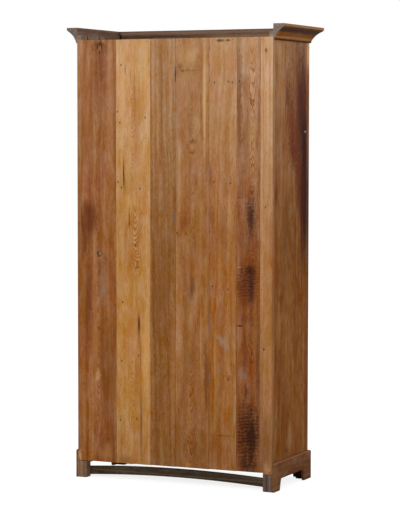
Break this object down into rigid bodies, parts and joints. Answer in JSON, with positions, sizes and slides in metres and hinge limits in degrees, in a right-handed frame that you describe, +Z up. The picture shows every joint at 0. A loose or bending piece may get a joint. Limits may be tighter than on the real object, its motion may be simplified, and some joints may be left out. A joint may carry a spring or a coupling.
{
  "type": "glazed cabinet",
  "caption": "Tall cupboard with a planked back, glazed hinged doors over shelves, a cove cornice with an open well on top and a bracket plinth.",
  "frame": {"origin": "centre of the overall box in plan, on the floor plane that the feet rest on", "axes": "+Z up, +Y from the doors to the planked back, +X to the right as seen from the front"},
  "size_m": [1.042, 0.4629, 2],
  "materials": {
    "back_board_reddish": "waxed old softwood, worn",
    "back_board_pale": "dry old softwood, worn",
    "back_board_brown": "dry old softwood, worn",
    "post_wood": "waxed old softwood, worn",
    "side_wood": "polished, worn",
    "frame_wood": "polished, worn",
    "door_wood": "polished, worn",
    "shelf_wood": "plain planed",
    "cornice_wood": "polished, worn",
    "plinth_wood": "polished, worn",
    "block_wood": "rough sawn, dirty",
    "stretcher_wood": "rough sawn, dirty",
    "glass": "clear",
    "brass": "aged satin",
    "iron": "rusty dark"
  },
  "bodies": {
    "root": {"side_panel_left": "side_wood", "side_panel_right": "side_wood", "rear_post_left": "post_wood", "rear_post_right": "post_wood", "back_strip": "post_wood", "top_board": "shelf_wood", "bottom_board": "shelf_wood", "shelf_1": "shelf_wood", "shelf_2": "shelf_wood", "shelf_3": "shelf_wood", "shelf_4": "shelf_wood", "shelf_cleats": "shelf_wood", "back_board_1": "back_board_reddish", "back_board_2": "back_board_pale", "back_board_3": "back_board_brown", "back_board_4": "back_board_brown", "back_board_5": "back_board_brown", "back_board_6": "back_board_brown", "back_nails": "iron", "frame_stile_left": "frame_wood", "frame_stile_right": "frame_wood", "frame_top_rail": "frame_wood", "frame_bottom_rail": "frame_wood", "door_stops": "frame_wood", "plinth_left": "plinth_wood", "plinth_right": "plinth_wood", "plinth_front": "plinth_wood", "foot_blocks": "block_wood", "cornice_blocks": "block_wood", "rear_stretcher": "stretcher_wood", "cornice_left": "cornice_wood", "cornice_right": "cornice_wood", "cornice_front": "cornice_wood", "frame_hinge_leaves": "brass", "hinge_pins": "brass", "top_bolt_keeper": "brass"},
    "left_door": {"left_door_rails": "door_wood", "left_door_bars": "door_wood", "left_door_beads": "door_wood", "left_door_hinge_stile": "door_wood", "left_door_meeting_stile": "door_wood", "left_door_glass": "glass", "left_hinge_leaves": "brass", "lock_keeper": "iron", "bolt_plates": "brass"},
    "right_door": {"right_door_rails": "door_wood", "right_door_bars": "door_wood", "right_door_beads": "door_wood", "right_door_hinge_stile": "door_wood", "right_door_meeting_stile": "door_wood", "right_door_knob": "door_wood", "right_door_glass": "glass", "right_hinge_leaves": "brass", "lock_case": "iron", "keyhole_plate": "brass"},
    "top_bolt": {"top_bolt": "brass"},
    "bottom_bolt": {"bottom_bolt": "brass"},
    "lock_bolt": {"lock_bolt": "iron"},
    "key": {"key": "iron"}
  },
  "joints": [
    {"name": "left_door_swing", "type": "hinge", "parent": "root", "child": "left_door", "pos_m": [-0.418, -0.18455, 1], "axis": [0, 0, -1], "range_deg": [0, 175]},
    {"name": "right_door_swing", "type": "hinge", "parent": "root", "child": "right_door", "pos_m": [0.418, -0.18455, 1], "axis": [0, 0, 1], "range_deg": [0, 175]},
    {"name": "top_bolt_slide", "type": "slide", "parent": "left_door", "child": "top_bolt", "axis": [0, 0, 1], "range_m": [0, 0.016]},
    {"name": "bottom_bolt_slide", "type": "slide", "parent": "left_door", "child": "bottom_bolt", "axis": [0, 0, -1], "range_m": [0, 0.016]},
    {"name": "key_turn", "type": "hinge", "parent": "right_door", "child": "key", "pos_m": [0.0295, -0.18, 1], "axis": [0, -1, 0], "range_deg": [0, 90]},
    {"name": "lock_bolt_slide", "type": "slide", "parent": "right_door", "child": "lock_bolt", "axis": [-1, 0, 0], "range_m": [0, 0.012]}
  ],
  "couplings": [
    {"joint": "key_turn", "follows": "lock_bolt_slide", "rad_per_m": 130.9}
  ]
}
